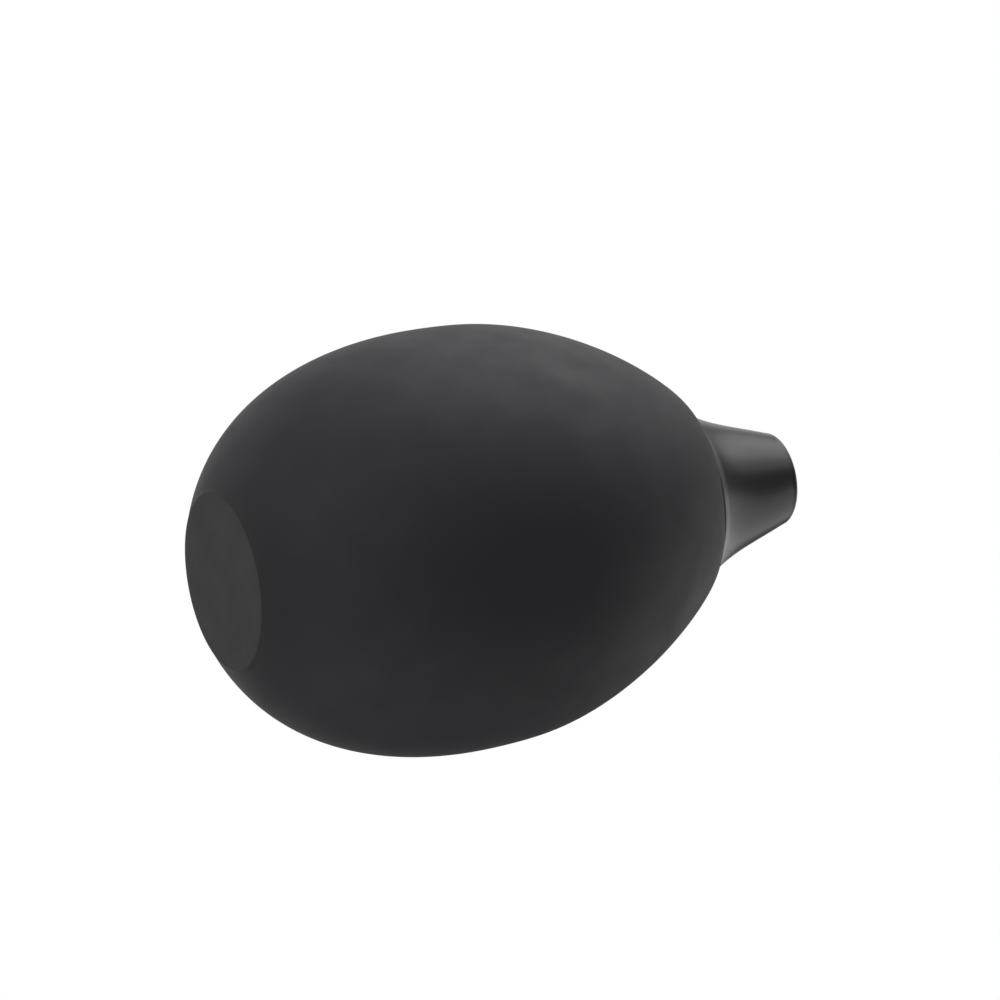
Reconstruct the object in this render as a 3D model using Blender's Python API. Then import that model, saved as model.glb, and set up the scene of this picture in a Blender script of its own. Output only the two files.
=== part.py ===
"""Dust blower bulb for the watchmaker's bench, standing upright on its flat base.

A one-piece rubber bulb carries a plastic collar bonded into its mouth. The blunt, flared
nozzle screws into the collar. The collar also holds the two valves: a floating ring flap
that lets clean air in from under the nozzle's flange, and a mushroom valve that lets the
squeezed air out through the nozzle.

Frame: metres, +Z up along the axis, from the base towards the nozzle. The origin is the
centre of the base face. Every piece is turned about +Z, so its outline is a closed list
of (radius, height) points.
"""

import math

import bmesh
import bpy

MM = 0.001
GAP = 0.3 * MM  # clearance kept between two pieces that touch on the real tool
ROUND_STEPS = 48  # facets round the bulb, the nozzle and the collar
SMALL_STEPS = 36  # facets round the small valve pieces
SHARP_ANGLE = math.radians(32)

# Bulb: a flat base disc, a belly below the middle, a long taper and a rounded shoulder.
BASE_R = 12.5 * MM
BASE_SPREAD = math.radians(63.2)  # the wall leaves the base this far from the axis
BASE_PULL = 22.5 * MM
BELLY_R = 30.0 * MM
BELLY_Z = 38.3 * MM
BELLY_PULL_BELOW = 1.9 * MM
BELLY_PULL_ABOVE = 16.2 * MM
SHOULDER_R = 16.0 * MM
SHOULDER_Z = 71.4 * MM
SHOULDER_LEAN = math.radians(49.4)
SHOULDER_PULL = 3.4 * MM
LIP_R = 13.0 * MM  # where the shoulder has turned flat
LIP_Z = 72.15 * MM
MOUTH_R = 9.3 * MM
WALL = 2.6 * MM
FLOOR = 4.0 * MM  # the base is thicker than the wall, so that the bulb stands
LIP_WALL = 3.0 * MM

# Collar: a barrel in the mouth, a flange under the lip and a tube that hangs below it.
COLLAR_BORE_R = 6.4 * MM
COLLAR_BARREL_R = MOUTH_R - GAP
COLLAR_FLANGE_R = 12.0 * MM
COLLAR_FLANGE_TOP = LIP_Z - LIP_WALL - GAP
COLLAR_FLANGE_T = 2.0 * MM
COLLAR_FLANGE_FOOT = COLLAR_FLANGE_TOP - COLLAR_FLANGE_T
COLLAR_TUBE_R = 7.3 * MM
COLLAR_FOOT = 60.0 * MM
COLLAR_LEDGE_R = 5.4 * MM
COLLAR_LEDGE_T = 1.0 * MM
INTAKE_SLOTS = 6
INTAKE_SLOT_INNER_R = 7.8 * MM
INTAKE_SLOT_OUTER_R = MOUTH_R
INTAKE_SLOT_W = 3.0 * MM

# Intake valve: a loose silicone ring below the slots, and the ring that stops it.
FLAP_T = 0.6 * MM
FLAP_TRAVEL = 0.8 * MM
FLAP_R = 10.6 * MM
FLAP_TOP = COLLAR_FLANGE_FOOT - GAP
RETAINER_R = 10.0 * MM
RETAINER_T = 1.5 * MM
RETAINER_TOP = FLAP_TOP - FLAP_T - FLAP_TRAVEL - GAP

# Outlet valve: a perforated seat on the collar's ledge, and a mushroom through its middle.
SEAT_R = COLLAR_BORE_R - GAP
SEAT_T = 1.8 * MM
SEAT_FOOT = COLLAR_FOOT + COLLAR_LEDGE_T + GAP
SEAT_TOP = SEAT_FOOT + SEAT_T
SEAT_PORTS = 6
SEAT_PORT_R = 0.9 * MM
SEAT_PORT_CIRCLE_R = 3.6 * MM
SEAT_STEM_HOLE_R = 1.2 * MM
MUSHROOM_R = 5.4 * MM
MUSHROOM_RIM_T = 0.5 * MM
MUSHROOM_CROWN_T = 1.1 * MM
MUSHROOM_STEM_R = SEAT_STEM_HOLE_R - GAP
MUSHROOM_BARB_R = 1.7 * MM
MUSHROOM_TRAVEL = 0.8 * MM
MUSHROOM_FOOT = SEAT_TOP + GAP
MUSHROOM_BARB_TOP = SEAT_FOOT - GAP - MUSHROOM_TRAVEL
MUSHROOM_TIP = MUSHROOM_BARB_TOP - 1.0 * MM

# Nozzle: a thin flange, a trumpet flare that runs into a blunt cone, and a screw spigot.
AIR_SLIT = 0.5 * MM  # clean air comes in here, between the lip and the flange
FLANGE_Z = LIP_Z + AIR_SLIT
FLANGE_R = 13.3 * MM
FLANGE_T = 0.8 * MM
FLARE_LEAN = math.radians(35)
FLARE_PULL = 6.0 * MM
CONE_LEAN = math.radians(19)
CONE_PULL = 6.0 * MM
NOZZLE_END_R = 6.95 * MM
NOZZLE_END_Z = 89.5 * MM
NOZZLE_END_ROUND = 0.8 * MM
SPIGOT_R = COLLAR_BORE_R - GAP
SPIGOT_LENGTH = 6.0 * MM
SPIGOT_FOOT = FLANGE_Z - SPIGOT_LENGTH
SPIGOT_BORE_R = 3.6 * MM
BORE_NECK_Z = 78.0 * MM  # the bore tapers from here up to the jet
JET_R = 1.6 * MM
JET_Z = 86.0 * MM
JET_MOUTH_R = 2.4 * MM
JET_MOUTH_DEPTH = 0.8 * MM

# Seal ring in a groove round the spigot.
SEAL_CORD_R = 0.4 * MM
SEAL_R = SPIGOT_R - SEAL_CORD_R
SEAL_Z = FLANGE_Z - 1.85 * MM
GROOVE_R = SEAL_R - SEAL_CORD_R - GAP
GROOVE_HALF_W = SEAL_CORD_R + GAP


def clear_scene():
    """Removes every object, so that the script starts from an empty scene."""
    for obj in list(bpy.data.objects):
        bpy.data.objects.remove(obj, do_unlink=True)


def plastic(name, colour, roughness):
    """A non-metallic material of one colour."""
    material = bpy.data.materials.new(name)
    material.use_nodes = True
    shader = material.node_tree.nodes["Principled BSDF"]
    shader.inputs["Base Color"].default_value = (*colour, 1.0)
    shader.inputs["Roughness"].default_value = roughness
    shader.inputs["Metallic"].default_value = 0.0
    return material


def curve(start, pull_start, pull_end, end, steps):
    """Points of a cubic curve, both ends included, from two ends and their two handles."""
    points = []
    for i in range(steps + 1):
        t = i / steps
        s = 1 - t
        weights = (s**3, 3 * s * s * t, 3 * s * t * t, t**3)
        corners = (start, pull_start, pull_end, end)
        points.append(tuple(sum(w * p[axis] for w, p in zip(weights, corners)) for axis in (0, 1)))
    return points


def arc(centre, radius, first_deg, last_deg, steps):
    """Points of a circular arc; 0 degrees points away from the axis and 90 up."""
    turns = [math.radians(first_deg + (last_deg - first_deg) * i / steps) for i in range(steps + 1)]
    return [(centre[0] + radius * math.cos(a), centre[1] + radius * math.sin(a)) for a in turns]


def turned(name, outline, material, steps):
    """A solid of revolution about +Z from a closed outline of (radius, height) points."""
    mesh = bpy.data.meshes.new(name)
    bm = bmesh.new()
    rings = []
    for radius, height in outline:
        if radius == 0:
            rings.append([bm.verts.new((0, 0, height))] * steps)
            continue
        angles = (math.tau * i / steps for i in range(steps))
        rings.append([bm.verts.new((radius * math.cos(a), radius * math.sin(a), height)) for a in angles])
    for ring, following in zip(rings, rings[1:] + rings[:1]):
        for i in range(steps):
            j = (i + 1) % steps
            corners = dict.fromkeys((ring[i], ring[j], following[j], following[i]))
            if len(corners) > 2:
                bm.faces.new(corners)
    bmesh.ops.recalc_face_normals(bm, faces=bm.faces)
    bm.to_mesh(mesh)
    bm.free()
    mesh.materials.append(material)
    mesh.shade_smooth()
    mesh.set_sharp_from_angle(angle=SHARP_ANGLE)
    obj = bpy.data.objects.new(name, mesh)
    bpy.context.scene.collection.objects.link(obj)
    return obj


def add_prism(bm, corners, foot, top):
    """Adds an upright prism with these (x, y) corners to a cutter's mesh."""
    lower = [bm.verts.new((x, y, foot)) for x, y in corners]
    upper = [bm.verts.new((x, y, top)) for x, y in corners]
    bm.faces.new(lower[::-1])
    bm.faces.new(upper)
    for i in range(len(corners)):
        j = (i + 1) % len(corners)
        bm.faces.new((lower[i], lower[j], upper[j], upper[i]))


def cut_prisms(obj, name, prisms, foot, top):
    """Cuts upright prisms, each a list of (x, y) corners, out of an object."""
    mesh = bpy.data.meshes.new(name)
    bm = bmesh.new()
    for corners in prisms:
        add_prism(bm, corners, foot, top)
    bmesh.ops.recalc_face_normals(bm, faces=bm.faces)
    bm.to_mesh(mesh)
    bm.free()
    cutter = bpy.data.objects.new(name, mesh)
    cutter.hide_render = True
    cutter.display_type = "WIRE"
    bpy.context.scene.collection.objects.link(cutter)
    modifier = obj.modifiers.new(name, "BOOLEAN")
    modifier.operation = "DIFFERENCE"
    modifier.solver = "EXACT"
    modifier.object = cutter


def round_the_axis(corners, count):
    """Copies a flat shape round the axis, this many times."""
    turns = (math.tau * i / count for i in range(count))
    return [
        [(x * math.cos(a) - y * math.sin(a), x * math.sin(a) + y * math.cos(a)) for x, y in corners]
        for a in turns
    ]


def bulb_outside():
    """The bulb's outer outline, from the edge of the base up to the flat of the lip."""
    base = (BASE_R, 0.0)
    base_handle = (
        BASE_R + BASE_PULL * math.sin(BASE_SPREAD),
        BASE_PULL * math.cos(BASE_SPREAD),
    )
    belly = (BELLY_R, BELLY_Z)
    lean = (math.sin(SHOULDER_LEAN), math.cos(SHOULDER_LEAN))
    shoulder = (SHOULDER_R, SHOULDER_Z)
    shoulder_handle = (SHOULDER_R + SHOULDER_PULL * lean[0], SHOULDER_Z - SHOULDER_PULL * lean[1])
    below = curve(base, base_handle, (BELLY_R, BELLY_Z - BELLY_PULL_BELOW), belly, 12)
    above = curve(belly, (BELLY_R, BELLY_Z + BELLY_PULL_ABOVE), shoulder_handle, shoulder, 12)
    lip_turn = 1.2 * MM
    lip = curve(
        shoulder,
        (SHOULDER_R - lip_turn * lean[0], SHOULDER_Z + lip_turn * lean[1]),
        (LIP_R + lip_turn, LIP_Z),
        (LIP_R, LIP_Z),
        3,
    )
    return below + above[1:] + lip[1:]


def bulb_inside(outside):
    """The outside moved in by the wall, between the floor and the roof under the lip."""
    roof = LIP_Z - LIP_WALL
    moved = []
    for before, here, after in zip(outside, outside[1:], outside[2:]):
        run = (after[0] - before[0], after[1] - before[1])
        length = math.hypot(*run)
        moved.append((here[0] - WALL * run[1] / length, here[1] + WALL * run[0] / length))
    kept = [point for point in moved if FLOOR + WALL / 2 < point[1] < roof - WALL / 2]
    floor_edge = (kept[0][0] - WALL, FLOOR)
    roof_edge = (kept[-1][0] - WALL, roof)
    return [floor_edge] + kept + [roof_edge]


def make_bulb():
    """One hollow rubber shell, open only at the mouth."""
    outside = bulb_outside()
    inside = bulb_inside(outside)
    roof = LIP_Z - LIP_WALL
    outline = [(0.0, 0.0)] + outside + [(MOUTH_R, LIP_Z), (MOUTH_R, roof)] + inside[::-1] + [(0.0, FLOOR)]
    rubber = plastic("bulb_rubber", (0.022, 0.022, 0.024), 0.62)
    return turned("bulb", outline, rubber, ROUND_STEPS)


def make_collar():
    """The insert bonded into the mouth, with the intake slots down its barrel."""
    outline = [
        (COLLAR_BORE_R, LIP_Z),
        (COLLAR_BARREL_R, LIP_Z),
        (COLLAR_BARREL_R, COLLAR_FLANGE_TOP),
        (COLLAR_FLANGE_R, COLLAR_FLANGE_TOP),
        (COLLAR_FLANGE_R, COLLAR_FLANGE_FOOT),
        (COLLAR_TUBE_R, COLLAR_FLANGE_FOOT),
        (COLLAR_TUBE_R, COLLAR_FOOT),
        (COLLAR_LEDGE_R, COLLAR_FOOT),
        (COLLAR_LEDGE_R, COLLAR_FOOT + COLLAR_LEDGE_T),
        (COLLAR_BORE_R, COLLAR_FOOT + COLLAR_LEDGE_T),
    ]
    white = plastic("collar_plastic", (0.50, 0.50, 0.48), 0.45)
    collar = turned("neck_collar", outline, white, ROUND_STEPS)
    half = INTAKE_SLOT_W / 2
    slot = [
        (INTAKE_SLOT_INNER_R, -half),
        (INTAKE_SLOT_OUTER_R, -half),
        (INTAKE_SLOT_OUTER_R, half),
        (INTAKE_SLOT_INNER_R, half),
    ]
    slots = round_the_axis(slot, INTAKE_SLOTS)
    cut_prisms(collar, "intake_slots", slots, COLLAR_FLANGE_FOOT - MM, LIP_Z + MM)
    return collar


def flat_ring(name, inner, outer, foot, top, material):
    """A washer with square edges."""
    outline = [(inner, foot), (outer, foot), (outer, top), (inner, top)]
    return turned(name, outline, material, SMALL_STEPS)


def make_intake_valve():
    """The floating flap under the intake slots and the ring that limits its drop."""
    inner = COLLAR_TUBE_R + GAP
    silicone = plastic("flap_silicone", (0.55, 0.50, 0.42), 0.55)
    ring_plastic = plastic("retainer_plastic", (0.30, 0.30, 0.30), 0.4)
    flap = flat_ring("intake_flap", inner, FLAP_R, FLAP_TOP - FLAP_T, FLAP_TOP, silicone)
    retainer = flat_ring(
        "flap_retainer", inner, RETAINER_R, RETAINER_TOP - RETAINER_T, RETAINER_TOP, ring_plastic
    )
    return flap, retainer


def make_valve_seat():
    """The perforated disc that the mushroom valve closes."""
    outline = [
        (SEAT_STEM_HOLE_R, SEAT_FOOT),
        (SEAT_R, SEAT_FOOT),
        (SEAT_R, SEAT_TOP),
        (SEAT_STEM_HOLE_R, SEAT_TOP),
    ]
    white = plastic("seat_plastic", (0.55, 0.55, 0.52), 0.4)
    seat = turned("valve_seat", outline, white, SMALL_STEPS)
    port = arc((SEAT_PORT_CIRCLE_R, 0.0), SEAT_PORT_R, 0, 330, 11)
    cut_prisms(seat, "seat_ports", round_the_axis(port, SEAT_PORTS), SEAT_FOOT - MM, SEAT_TOP + MM)
    return seat


def make_mushroom_valve():
    """The outlet valve: a thin domed disc with a barbed stem, in one silicone piece."""
    rim_top = MUSHROOM_FOOT + MUSHROOM_RIM_T
    crown = MUSHROOM_FOOT + MUSHROOM_CROWN_T
    dome = curve((MUSHROOM_R, rim_top), (MUSHROOM_R * 0.7, crown), (MUSHROOM_R * 0.35, crown), (0.0, crown), 5)
    outline = [
        (0.0, MUSHROOM_TIP),
        (MUSHROOM_STEM_R, MUSHROOM_TIP),
        (MUSHROOM_BARB_R, MUSHROOM_BARB_TOP),
        (MUSHROOM_STEM_R, MUSHROOM_BARB_TOP),
        (MUSHROOM_STEM_R, MUSHROOM_FOOT),
        (MUSHROOM_R, MUSHROOM_FOOT),
    ]
    silicone = plastic("valve_silicone", (0.55, 0.50, 0.42), 0.55)
    return turned("exhaust_valve", outline + dome, silicone, SMALL_STEPS)


def nozzle_outside():
    """The nozzle's outer outline, from the back of the flange to the edge of the end face."""
    rim_r = FLANGE_T / 2
    rim = arc((FLANGE_R - rim_r, FLANGE_Z + rim_r), rim_r, -90, 90 - math.degrees(FLARE_LEAN), 5)
    start = rim[-1]
    end = (NOZZLE_END_R, NOZZLE_END_Z - NOZZLE_END_ROUND)
    flare = curve(
        start,
        (start[0] - FLARE_PULL * math.sin(FLARE_LEAN), start[1] + FLARE_PULL * math.cos(FLARE_LEAN)),
        (end[0] + CONE_PULL * math.sin(CONE_LEAN), end[1] - CONE_PULL * math.cos(CONE_LEAN)),
        end,
        9,
    )
    edge = arc((end[0] - NOZZLE_END_ROUND, end[1]), NOZZLE_END_ROUND, 0, 90, 3)
    return rim + flare[1:] + edge[1:]


def make_nozzle():
    """The hard nozzle with its jet and its grooved spigot."""
    inside = [
        (JET_MOUTH_R, NOZZLE_END_Z),
        (JET_R, NOZZLE_END_Z - JET_MOUTH_DEPTH),
        (JET_R, JET_Z),
        (SPIGOT_BORE_R, BORE_NECK_Z),
        (SPIGOT_BORE_R, SPIGOT_FOOT),
    ]
    spigot = [
        (SPIGOT_R, SPIGOT_FOOT),
        (SPIGOT_R, SEAL_Z - GROOVE_HALF_W),
        (GROOVE_R, SEAL_Z - GROOVE_HALF_W),
        (GROOVE_R, SEAL_Z + GROOVE_HALF_W),
        (SPIGOT_R, SEAL_Z + GROOVE_HALF_W),
        (SPIGOT_R, FLANGE_Z),
    ]
    black = plastic("nozzle_plastic", (0.018, 0.018, 0.019), 0.3)
    return turned("nozzle", spigot + nozzle_outside() + inside, black, ROUND_STEPS)


def make_nozzle_seal():
    """The rubber ring that seals the spigot in the collar's bore."""
    rubber = plastic("seal_rubber", (0.02, 0.02, 0.02), 0.6)
    return turned("nozzle_seal", arc((SEAL_R, SEAL_Z), SEAL_CORD_R, 0, 315, 7), rubber, SMALL_STEPS)


def main():
    """Builds every piece of the blower."""
    clear_scene()
    make_bulb()
    make_collar()
    make_intake_valve()
    make_valve_seat()
    make_mushroom_valve()
    make_nozzle()
    make_nozzle_seal()


main()
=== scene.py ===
"""Looks of the dust blower bulb: fine meshes, finishes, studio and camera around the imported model.

The blower stands upright on its flat base, with +Z along its axis towards the jet. All sizes
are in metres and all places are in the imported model's frame. Each piece is turned about +Z, so
its shape is an outline of (radius, height) points.
"""

import logging
import math
from collections.abc import Callable, Sequence
from dataclasses import dataclass, field
from enum import Enum

import bmesh
import bpy
from mathutils import Matrix, Vector


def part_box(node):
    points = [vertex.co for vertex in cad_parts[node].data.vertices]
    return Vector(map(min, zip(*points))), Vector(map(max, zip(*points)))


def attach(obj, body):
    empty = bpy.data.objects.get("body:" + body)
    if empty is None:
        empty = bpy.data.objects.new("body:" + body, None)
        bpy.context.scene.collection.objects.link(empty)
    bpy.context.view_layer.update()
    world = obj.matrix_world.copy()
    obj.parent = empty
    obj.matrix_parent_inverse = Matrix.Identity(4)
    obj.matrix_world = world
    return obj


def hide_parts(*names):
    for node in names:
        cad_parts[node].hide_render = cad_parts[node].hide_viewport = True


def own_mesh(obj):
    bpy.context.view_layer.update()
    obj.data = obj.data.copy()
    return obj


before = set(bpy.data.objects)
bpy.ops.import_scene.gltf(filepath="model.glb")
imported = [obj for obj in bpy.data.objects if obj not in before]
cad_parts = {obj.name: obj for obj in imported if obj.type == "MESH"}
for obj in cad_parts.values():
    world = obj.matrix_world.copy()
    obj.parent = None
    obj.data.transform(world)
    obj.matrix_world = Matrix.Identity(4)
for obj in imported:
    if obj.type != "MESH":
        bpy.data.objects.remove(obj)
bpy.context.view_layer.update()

log = logging.getLogger("dust_blower")

MM = 0.001
AIR_SLIT = 0.35 * MM  # between the bulb's lip and the nozzle's flange, before the lip settles
SHARP_EDGE_DEG = 35.0  # faces that meet at more than this keep a sharp edge

Point = tuple[float, float]
Place = tuple[float, float, float]
Colour = tuple[float, float, float]


class Body(Enum):
    """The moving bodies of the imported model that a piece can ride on."""

    BULB = "bulb"
    NECK = "neck"
    INTAKE_FLAP = "intake_flap"
    EXHAUST_VALVE = "exhaust_valve"
    SEAL = "nozzle_seal"
    NOZZLE = "nozzle"


class Slot(Enum):
    """The record's material slots."""

    BULB = "bulb_rubber"
    NOZZLE = "nozzle_plastic"
    SEAL = "seal_rubber"
    COLLAR = "collar_plastic"
    RETAINER = "retainer_plastic"
    SEAT = "seat_plastic"
    VALVE = "valve_silicone"


@dataclass(frozen=True)
class Span:
    """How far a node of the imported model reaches."""

    radius: float
    foot: float
    top: float


def span_of(node: str) -> Span:
    """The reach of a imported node, which is round about the blower's axis.

    Args:
        node: The node's name.

    Returns:
        Its largest radius and its lowest and highest points.
    """
    low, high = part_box(node)
    return Span(high.x, low.z, high.z)


# --------------------------------------------------------------------------------------
# Outlines
# --------------------------------------------------------------------------------------


def lerp(start: Point, end: Point, share: float) -> Point:
    """The point this share of the way from start to end."""
    return (start[0] + (end[0] - start[0]) * share, start[1] + (end[1] - start[1]) * share)


def distance(start: Point, end: Point) -> float:
    """The distance between two points."""
    return math.hypot(end[0] - start[0], end[1] - start[1])


def step_from(start: Point, lean_deg: float, length: float) -> Point:
    """A point at a distance from another.

    Args:
        start: The first point.
        lean_deg: Direction, in degrees from straight up; positive leans away from the axis.
        length: How far to go.

    Returns:
        The new point.
    """
    lean = math.radians(lean_deg)
    return (start[0] + length * math.sin(lean), start[1] + length * math.cos(lean))


def cubic(start: Point, pull_start: Point, pull_end: Point, end: Point, steps: int) -> list[Point]:
    """Points of a cubic curve, both ends included.

    Args:
        start: First end.
        pull_start: Handle of the first end.
        pull_end: Handle of the second end.
        end: Second end.
        steps: How many straight pieces stand for the curve.

    Returns:
        steps + 1 points from start to end.
    """
    points = []
    for i in range(steps + 1):
        t = i / steps
        first = lerp(start, pull_start, t)
        middle = lerp(pull_start, pull_end, t)
        last = lerp(pull_end, end, t)
        points.append(lerp(lerp(first, middle, t), lerp(middle, last, t), t))
    return points


def ramp(value: float, start: float, end: float) -> float:
    """A smooth step from 0 at start to 1 at end."""
    share = min(max((value - start) / (end - start), 0.0), 1.0)
    return share * share * (3 - 2 * share)


def arc(centre: Point, radius: float, start_deg: float, end_deg: float, steps: int) -> list[Point]:
    """Points of a circular arc; 0 degrees points away from the axis and 90 points up."""
    turns = (math.radians(start_deg + (end_deg - start_deg) * i / steps) for i in range(steps + 1))
    return [(centre[0] + radius * math.cos(a), centre[1] + radius * math.sin(a)) for a in turns]


def evenly_spaced(points: Sequence[Point], count: int) -> list[Point]:
    """A run of points laid again at equal distances along the same path.

    Args:
        points: The path.
        count: How many straight pieces the new run has.

    Returns:
        count + 1 points, both ends kept.
    """
    lengths = [distance(a, b) for a, b in zip(points, points[1:])]
    gap = sum(lengths) / count
    laid = [points[0]]
    piece = 0
    used = 0.0
    for i in range(1, count):
        while used + lengths[piece] < gap * i:
            used += lengths[piece]
            piece += 1
        laid.append(lerp(points[piece], points[piece + 1], (gap * i - used) / lengths[piece]))
    return [*laid, points[-1]]


def softened(points: Sequence[Point], passes: int) -> list[Point]:
    """A run of evenly spaced points with its bends spread out, both ends kept.

    Args:
        points: The run.
        passes: How often each point moves half-way to the middle of its neighbours.

    Returns:
        As many points as before.
    """
    run = list(points)
    for _ in range(passes):
        middle = [lerp(lerp(a, c, 0.5), b, 0.5) for a, b, c in zip(run, run[1:], run[2:])]
        run = [run[0], *middle, run[-1]]
    return run


def circle(centre: Point, radius: float, steps: int) -> list[Point]:
    """Evenly spaced points of a full circle, counter-clockwise from its far side."""
    turns = (math.tau * i / steps for i in range(steps))
    return [(centre[0] + radius * math.cos(a), centre[1] + radius * math.sin(a)) for a in turns]


ROUND_ROOM = 0.45  # the most of a side that one rounded corner takes
ROUND_HANDLE = 0.45  # how much of the way to the sharp corner is left out of the curve's handles
ROUND_HOLD = 1.6  # where the ring that holds the flat side stands, as a multiple of the cut


@dataclass
class Outline:
    """A closed outline of (radius, height) points, built up corner by corner and curve by curve."""

    points: list[Point] = field(default_factory=list)
    rounds: list[float] = field(default_factory=list)

    def corner(self, radius: float, height: float, rounding: float = 0.0) -> "Outline":
        """Adds one corner.

        Args:
            radius: Distance from the axis.
            height: Height above the base.
            rounding: Radius that the corner is rounded to; 0 keeps it sharp.

        Returns:
            The outline, so that calls can be chained.
        """
        self.points.append((radius, height))
        self.rounds.append(rounding)
        return self

    def run(self, points: Sequence[Point]) -> "Outline":
        """Adds the points of a curve as they are.

        Args:
            points: The curve.

        Returns:
            The outline itself.
        """
        self.points.extend(points)
        self.rounds.extend([0.0] * len(points))
        return self

    def finished(self, round_steps: int = 5) -> list[Point]:
        """The outline with its corners rounded.

        A ring is added just outside each rounded corner, so that flat faces stay flat when
        the mesh is shaded smooth.

        Args:
            round_steps: Straight pieces in each rounded corner.

        Returns:
            The closed outline's points, in order.
        """
        made: list[Point] = []
        count = len(self.points)
        for i, (here, rounding) in enumerate(zip(self.points, self.rounds)):
            if rounding <= 0:
                made.append(here)
                continue
            before = self.points[i - 1]
            after = self.points[(i + 1) % count]
            room_before = distance(here, before)
            room_after = distance(here, after)
            cut = min(rounding, ROUND_ROOM * room_before, ROUND_ROOM * room_after)
            start = lerp(here, before, cut / room_before)
            end = lerp(here, after, cut / room_after)
            made.append(lerp(here, before, min(ROUND_HOLD * cut / room_before, 0.5)))
            pull_start = lerp(start, here, 1 - ROUND_HANDLE)
            pull_end = lerp(end, here, 1 - ROUND_HANDLE)
            made.extend(cubic(start, pull_start, pull_end, end, round_steps))
            made.append(lerp(here, after, min(ROUND_HOLD * cut / room_after, 0.5)))
        return made


def hoop(inner_r: float, span: Span, edge: float) -> list[Point]:
    """The rectangular cross-section of a flat ring.

    Args:
        inner_r: The hole's radius.
        span: The ring's outer radius and its lowest and highest points.
        edge: Radius that its four corners are rounded to.

    Returns:
        The closed outline's points, in order.
    """
    shape = Outline().corner(inner_r, span.foot, edge).corner(span.radius, span.foot, edge)
    shape.corner(span.radius, span.top, edge).corner(inner_r, span.top, edge)
    return shape.finished(4)


# --------------------------------------------------------------------------------------
# Meshes
# --------------------------------------------------------------------------------------

Relief = Callable[[float, float, float], float]


def as_object(name: str, bm: bmesh.types.BMesh) -> bpy.types.Object:
    """Turns a bmesh into an object in the scene, faces out and shaded smooth.

    Args:
        name: The object's name.
        bm: The geometry; it is freed.

    Returns:
        The new object.
    """
    bmesh.ops.recalc_face_normals(bm, faces=bm.faces)
    mesh = bpy.data.meshes.new(name)
    bm.to_mesh(mesh)
    bm.free()
    mesh.shade_smooth()
    mesh.set_sharp_from_angle(angle=math.radians(SHARP_EDGE_DEG))
    obj = bpy.data.objects.new(name, mesh)
    bpy.context.scene.collection.objects.link(obj)
    return obj


def turned(
    name: str, outline: Sequence[Point], steps: int, relief: Relief | None = None
) -> bpy.types.Object:
    """A solid of revolution about the blower's axis.

    Args:
        name: The object's name.
        outline: Closed outline of (radius, height) points; points on the axis have radius 0.
        steps: Facets round the axis.
        relief: Gives how much to add to the radius at (angle, radius, height), for a thread.

    Returns:
        The new object.
    """
    bm = bmesh.new()
    rings: list[list[bmesh.types.BMVert]] = []
    for radius, height in outline:
        if radius == 0:
            rings.append([bm.verts.new((0.0, 0.0, height))] * steps)
            continue
        ring = []
        for i in range(steps):
            angle = math.tau * i / steps
            reach = radius + (relief(angle, radius, height) if relief else 0.0)
            ring.append(bm.verts.new((reach * math.cos(angle), reach * math.sin(angle), height)))
        rings.append(ring)
    for ring, following in zip(rings, rings[1:] + rings[:1]):
        for i in range(steps):
            j = (i + 1) % steps
            corners = dict.fromkeys((ring[i], ring[j], following[j], following[i]))
            if len(corners) > 2:
                bm.faces.new(corners)
    return as_object(name, bm)


def prism(name: str, shape: Sequence[Point], foot: float, top: float, copies: int) -> bpy.types.Object:
    """Upright prisms spaced evenly round the axis, used as a cutter.

    Args:
        name: The object's name.
        shape: (x, y) corners of one prism.
        foot: Its lower height.
        top: Its upper height.
        copies: How many prisms go round the axis.

    Returns:
        One object that holds all the prisms.
    """
    bm = bmesh.new()
    for copy in range(copies):
        spin = Matrix.Rotation(math.tau * copy / copies, 3, "Z")
        lower = [bm.verts.new(spin @ Vector((x, y, foot))) for x, y in shape]
        upper = [bm.verts.new(spin @ Vector((x, y, top))) for x, y in shape]
        bm.faces.new(lower[::-1])
        bm.faces.new(upper)
        for i in range(len(shape)):
            j = (i + 1) % len(shape)
            bm.faces.new((lower[i], lower[j], upper[j], upper[i]))
    return as_object(name, bm)


def carve(obj: bpy.types.Object, cutter: bpy.types.Object) -> None:
    """Cuts a cutter out of an object for good, and removes the cutter.

    Args:
        obj: The object, whose mesh is replaced.
        cutter: A closed object.
    """
    modifier = obj.modifiers.new("carve", "BOOLEAN")
    modifier.operation = "DIFFERENCE"
    modifier.solver = "EXACT"
    modifier.object = cutter
    bpy.context.view_layer.update()
    shaped = obj.evaluated_get(bpy.context.evaluated_depsgraph_get())
    mesh = bpy.data.meshes.new_from_object(shaped)
    obj.modifiers.clear()
    obj.data = mesh
    mesh.shade_smooth()
    mesh.set_sharp_from_angle(angle=math.radians(SHARP_EDGE_DEG))
    bpy.data.objects.remove(cutter)


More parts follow.
